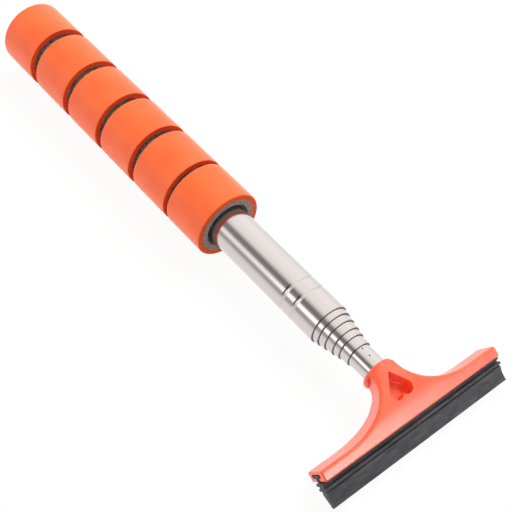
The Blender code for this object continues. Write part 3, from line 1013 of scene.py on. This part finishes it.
    def build_heart(self) -> Object:
        """Extrude the cutter of the heart-shaped pocket, with a rounded floor.

        Returns:
            The cutter.
        """
        frame = self.heart_frame()
        back = frame.inverted()
        corners = [frame @ Vector((x, y, 0.0)) for x, y in self.heart_outline()]
        outward = frame.to_3x3() @ Vector((0.0, 0.0, 2 * self.thickness))
        heart = extrude_outline("heart_pocket", corners, outward)
        round_edges(heart, lambda edge: all(abs((back @ vert.co).z) < WELD for vert in edge.verts),
                    self.heart_floor_round, self.floor_strips)
        close_piece()
        return heart

    def build_channel(self) -> Object:
        """Extrude the cutter of the channel: a wide roof for the blade's root, lips and a flared mouth.

        Returns:
            The cutter.
        """
        lip_top = self.channel_roof + self.channel_height
        side = [(self.channel_roof, self.channel_half_width), (lip_top, self.channel_half_width)]
        side += [(lip_top, self.channel_neck), (lip_top + self.channel_lip, self.channel_neck)]
        side += [(self.bar_height, self.mouth_half_width), (2 * self.bar_height, self.mouth_half_width)]
        frame = self.frame_at(self.bend_end)
        corners = [frame @ Vector((along, -self.bar_length, through)) for along, through in mirrored(side)]
        channel = extrude_outline("channel", corners, Vector((0.0, 2 * self.bar_length, 0.0)))
        close_piece()
        return channel

    def on_rim(self, edge: BMEdge, back: Matrix) -> bool:
        """Say whether an edge lies on the rim of the heart-shaped pocket.

        Args:
            edge: The edge.
            back: Takes a point to the heart's own frame.

        Returns:
            True on the rim.
        """
        if len(edge.link_faces) != 2 or edge.calc_face_angle() < SMOOTH_ANGLE:
            return False
        outline = [Vector(corner) for corner in self.heart_outline()]
        for vert in edge.verts:
            place = back @ vert.co
            if place.z < self.heart_floor_round:
                return False
            ends = zip(outline, outline[1:] + outline[:1])
            if min(distance_to_line(place.to_2d(), *pair) for pair in ends) > self.rim_error:
                return False
        return True

    def build(self) -> None:
        """Build the head: plate and collar joined, heart and channel cut, rim rounded."""
        head = self.build_plate()
        head.data.materials.append(HEAD_PLASTIC.material())
        combine(head, Cut.JOIN, self.build_collar())
        combine(head, Cut.CUT_OUT, self.build_heart())
        combine(head, Cut.CUT_OUT, self.build_channel())
        back = self.heart_frame().inverted()
        pick(head)
        bpy.ops.object.mode_set(mode='EDIT')
        round_edges(head, lambda edge: self.on_rim(edge, back), self.rim_round, self.rim_strips, clamp=True)
        bpy.ops.object.mode_set(mode='OBJECT')
        smooth(head)
        modify(head, 'WEIGHTED_NORMAL', keep_sharp=True)
        dress(head, HEAD_PLASTIC, Body.ROD_AND_HEAD, "head")


@dataclass
class WiperBlade:
    """The rubber blade: a root in the head's channel, two ribs, a waist and a tapering plate."""

    frame: Matrix
    length: float = 85.4 * MM
    root: tuple[float, float] = (1.3 * MM, 2.3 * MM)
    root_half_width: float = 2.5 * MM
    web_half_width: float = 0.6 * MM
    rib_starts: tuple[float, float] = (4.5 * MM, 6.4 * MM)
    rib_height: float = 1.0 * MM
    rib_half_width: float = 2.75 * MM
    waist_half_width: float = 1.3 * MM
    plate_start: float = 8.1 * MM
    plate_half_width: float = 1.9 * MM
    tip: float = 14.0 * MM
    tip_half_width: float = 0.55 * MM
    edge_round: float = 0.14 * MM
    edge_strips: int = 3
    end_hollow: float = 0.45 * MM
    plate_steps: int = 8

    def outline(self) -> list[Vector]:
        """List the blade's section.

        Returns:
            Its corners along the head and through it.
        """
        top, bottom = self.root
        side = [(top, self.root_half_width), (bottom, self.root_half_width), (bottom, self.web_half_width)]
        inner = self.web_half_width
        for start in self.rib_starts:
            end = start + self.rib_height
            side += [(start, inner), (start, self.rib_half_width), (end, self.rib_half_width)]
            inner = self.waist_half_width
            side.append((end, inner))
        plate_top, edge = (self.plate_start, self.plate_half_width), (self.tip, self.tip_half_width)
        side += [(self.plate_start, inner), plate_top, *between(plate_top, edge, self.plate_steps), edge]
        return [Vector((along, 0.0, through)) for along, through in mirrored(side)]

    def build(self) -> None:
        """Extrude the blade along the bar, hollow its cut end a little and round its edges."""
        start = Vector((0.0, -self.length / 2, 0.0))
        corners = [self.frame @ (point + start) for point in self.outline()]
        blade = extrude_outline("rubber_blade", corners, Vector((0.0, self.length, 0.0)))
        close_piece()
        back = self.frame.inverted()
        for vert in blade.data.vertices:
            share = ((back @ vert.co).x - self.plate_start) / (self.tip - self.plate_start)
            if vert.co.y > 0.0 and share > 0.0:
                vert.co.y -= self.end_hollow * math.sin(math.pi * share)
        modify(blade, 'BEVEL', width=self.edge_round, segments=self.edge_strips, limit_method='ANGLE',
               angle_limit=SMOOTH_ANGLE)
        smooth(blade)
        dress(blade, RUBBER, Body.ROD_AND_HEAD, "blade")


class LampUse(Enum):
    """What a lamp is for: to light the pieces, or to shine in their gloss."""

    LIGHT = "light"
    SHINE = "shine"


@dataclass(frozen=True)
class SoftBox:
    """A rectangular studio lamp, for every piece or only for some."""

    name: str
    place: tuple[float, float, float]
    aim: tuple[float, float, float]
    size: tuple[float, float]
    watts: float
    use: LampUse = LampUse.LIGHT
    pieces: tuple[str, ...] = ()

    def build(self) -> None:
        """Hang the lamp and turn it to its aim."""
        bpy.ops.object.select_all(action='DESELECT')
        bpy.ops.object.light_add(type='AREA', location=self.place)
        lamp = bpy.context.object
        lamp.name = self.name
        lamp.data.shape = 'RECTANGLE'
        lamp.data.size, lamp.data.size_y = self.size
        lamp.data.energy = self.watts
        lamp.visible_diffuse = self.use is LampUse.LIGHT
        lamp.visible_glossy = self.use is LampUse.SHINE
        if self.pieces:
            linked = bpy.data.collections.new(self.name + "_pieces")
            for name in self.pieces:
                linked.objects.link(bpy.data.objects[name])
            lamp.light_linking.receiver_collection = linked
        towards = Vector(self.aim) - Vector(self.place)
        lamp.rotation_euler = towards.to_track_quat('-Z', 'Y').to_euler()


@dataclass
class Studio:
    """The white studio: camera, floor, surroundings and lamps."""

    camera_place: tuple[float, float, float] = (0.22358, -0.17939, 0.32807)
    camera_turn: tuple[float, float, float] = (39.569, -3.541, 50.959)
    lens: float = 74.53
    sensor: float = 36.0
    nearest: float = 0.01
    floor_size: float = 8.0
    floor_drop: float = 0.05 * MM
    floor_colour: str = "F2F1F0"
    floor_roughness: float = 0.9
    shadow_share: float = 0.06
    # What reflections see of the floor: painted shade far out on the -Y side, and painted light, brighter
    # than white, near the object
    floor_painted_light_levels: tuple[float, float] = (0.56, 1.13)
    floor_painted_shade_reach: tuple[float, float] = (-0.2, -0.03)
    fill_strength: float = 0.25
    mirrored_walls: float = 1.32
    dark_ahead: tuple[float, float] = (0.05, 0.4)
    dark_side: tuple[float, float] = (-0.1, -0.45)
    dark_share: float = 0.2
    bright_behind: tuple[float, float] = (-0.52, -0.7)
    bright_level: float = 1.9
    surroundings: tuple[tuple[float, float], ...] = (
        (0.0, 0.94), (0.08, 1.0), (0.2, 1.05), (0.36, 1.0), (0.5, 0.95), (0.56, 0.82), (0.605, 0.6),
        (0.64, 0.3), (0.67, 0.21), (0.725, 0.21), (0.76, 0.26), (0.8, 0.62), (0.83, 0.95), (0.87, 1.05),
        (0.905, 0.85), (0.94, 0.5), (0.97, 0.36), (1.0, 0.38))
    lamps: tuple[SoftBox, ...] = (
        SoftBox("side_softbox", (-0.1, 0.55, 0.8), (0.0, 0.0, 0.015), (0.9, 0.6), 12.3),
        SoftBox("front_softbox", (0.15, -0.55, 0.75), (0.05, 0.0, 0.015), (0.6, 0.4), 2.2),
        SoftBox("low_fill", (0.0, -0.6, 0.15), (0.0, 0.0, 0.015), (0.8, 0.2), 1.05),
        SoftBox("head_card", (0.8, 0.075, 0.48), (0.12, 0.0, 0.005), (0.72, 0.33), 8.4, LampUse.SHINE,
                ("moulded_head",)),
        SoftBox("strip_light", (-0.21, -0.9, 0.46), (-0.21, 0.0, 0.015), (0.42, 0.36), 0.32, LampUse.SHINE),
    )

    def build_camera(self) -> None:
        """Place the camera where the photograph was taken from."""
        bpy.ops.object.select_all(action='DESELECT')
        turn_by = [math.radians(angle) for angle in self.camera_turn]
        bpy.ops.object.camera_add(location=self.camera_place, rotation=turn_by)
        camera = bpy.context.object
        camera.data.lens = self.lens
        camera.data.sensor_width = self.sensor
        camera.data.clip_start = self.nearest
        bpy.context.scene.camera = camera

    def build_floor(self) -> None:
        """Lay the white floor. The camera sees it plain white with a faint shadow left, and reflections see
        it glow with painted light and shade.
        """
        bpy.ops.object.select_all(action='DESELECT')
        bpy.ops.mesh.primitive_plane_add(size=self.floor_size, location=(0.0, 0.0, -self.floor_drop))
        floor = bpy.context.object
        floor.name = "studio_floor"
        paper = bpy.data.materials.new("white_paper")
        paper.use_nodes = True
        tree = paper.node_tree
        shader = tree.nodes["Principled BSDF"]
        set_inputs(tree, shader, {"Base Color": linear(self.floor_colour), "Roughness": self.floor_roughness})
        rays = add_node(tree, "LightPath").outputs
        seen = rays["Is Camera Ray"]
        for kind in ("Is Glossy Ray", "Is Transmission Ray"):
            seen = add_node(tree, "Math", (seen, rays[kind]), operation='MAXIMUM')
        share = add_node(tree, "Math", (seen, 1.0 - self.shadow_share), operation='MULTIPLY')
        place = add_node(tree, "SeparateXYZ", (add_node(tree, "TexCoord").outputs["Object"],))
        # In reflections the floor glows as painted light and shade: dim from 0.2 m out on the -Y side, where
        # the camera stands, and brighter than white near the object
        dimmed = add_node(tree, "MapRange", (place.outputs["Y"], *self.floor_painted_shade_reach, *self.floor_painted_light_levels))
        level = add_node(tree, "Mix", {0: rays["Is Camera Ray"], 2: dimmed, 3: 1.0})
        glow = add_node(tree, "Emission", (linear(WHITE), level))
        mixed = add_node(tree, "MixShader", (share, shader, glow))
        set_inputs(tree, tree.nodes["Material Output"], {"Surface": mixed})
        floor.data.materials.append(paper)

    def build_surroundings(self) -> None:
        """Surround the object with white walls, dark behind the camera apart from one lit strip.

        The camera sees plain white. Polished metal sees the walls, whose brightness goes by the angle from
        the +Y side over the top to the -Y side. On the -Y side they are dark towards the blade and white
        towards the butt, which draws the tube's rings.
        """
        world = bpy.data.worlds.new("studio")
        world.use_nodes = True
        bpy.context.scene.world = world
        tree = world.node_tree
        way = add_node(tree, "SeparateXYZ", (add_node(tree, "TexCoord").outputs["Generated"],))
        onward, sideways, upward = way.outputs
        angle = add_node(tree, "Math", (upward, sideways), operation='ARCTAN2')
        share = add_node(tree, "Math", (angle, math.pi), operation='DIVIDE')
        stops = [(place, grey(self.mirrored_walls * level)) for place, level in self.surroundings]
        walls = add_node(tree, "ValToRGB", (share,), stops)
        ahead = add_node(tree, "MapRange", (onward, *self.dark_ahead, 1.0, self.dark_share))
        aside = add_node(tree, "MapRange", (sideways, *self.dark_side, 0.0, 1.0))
        dimmed = add_node(tree, "Mix", {0: aside, 2: 1.0, 3: ahead})
        behind = add_node(tree, "MapRange", (onward, *self.bright_behind, 0.0, 1.0))
        lit = add_node(tree, "Math", (behind, aside), operation='MULTIPLY')
        rays = add_node(tree, "LightPath").outputs
        direct = rays["Is Camera Ray"], rays["Is Transmission Ray"]
        seen = add_node(tree, "Math", direct, operation='MAXIMUM')
        bright, fill = grey(self.bright_level), grey(self.fill_strength)
        walls = add_node(tree, "Mix", {0: lit, 6: walls, 7: bright}, data_type='RGBA')
        walls = add_node(tree, "Mix", {0: 1.0, 6: walls.outputs[2], 7: dimmed}, data_type='RGBA',
                         blend_type='MULTIPLY')
        glossy = rays["Is Glossy Ray"]
        shiny = add_node(tree, "Mix", {0: glossy, 6: fill, 7: walls.outputs[2]}, data_type='RGBA')
        plain = add_node(tree, "Mix", {0: seen, 6: shiny.outputs[2], 7: linear(WHITE)}, data_type='RGBA')
        set_inputs(tree, tree.nodes["Background"], {"Color": plain.outputs[2], "Strength": 1.0})

    def build(self) -> None:
        """Set up the whole studio."""
        self.build_camera()
        self.build_floor()
        self.build_surroundings()
        for lamp in self.lamps:
            lamp.build()
        bpy.context.scene.view_settings.view_transform = 'Standard'


def main() -> None:
    """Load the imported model, and build and dress every piece."""
    logging.basicConfig(level=logging.INFO, format="%(message)s")
    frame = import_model()
    low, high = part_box("main_tube")
    axis_height = (low.z + high.z) / 2
    FoamGrip(axis_height).build()
    Telescope(axis_height).build(frame["nodes"])
    head = MouldedHead(axis_height, mouth_of_collar())
    head.build()
    WiperBlade(head.frame_at(head.bend_end)).build()
    Studio().build()


if __name__ == "__main__":
    main()
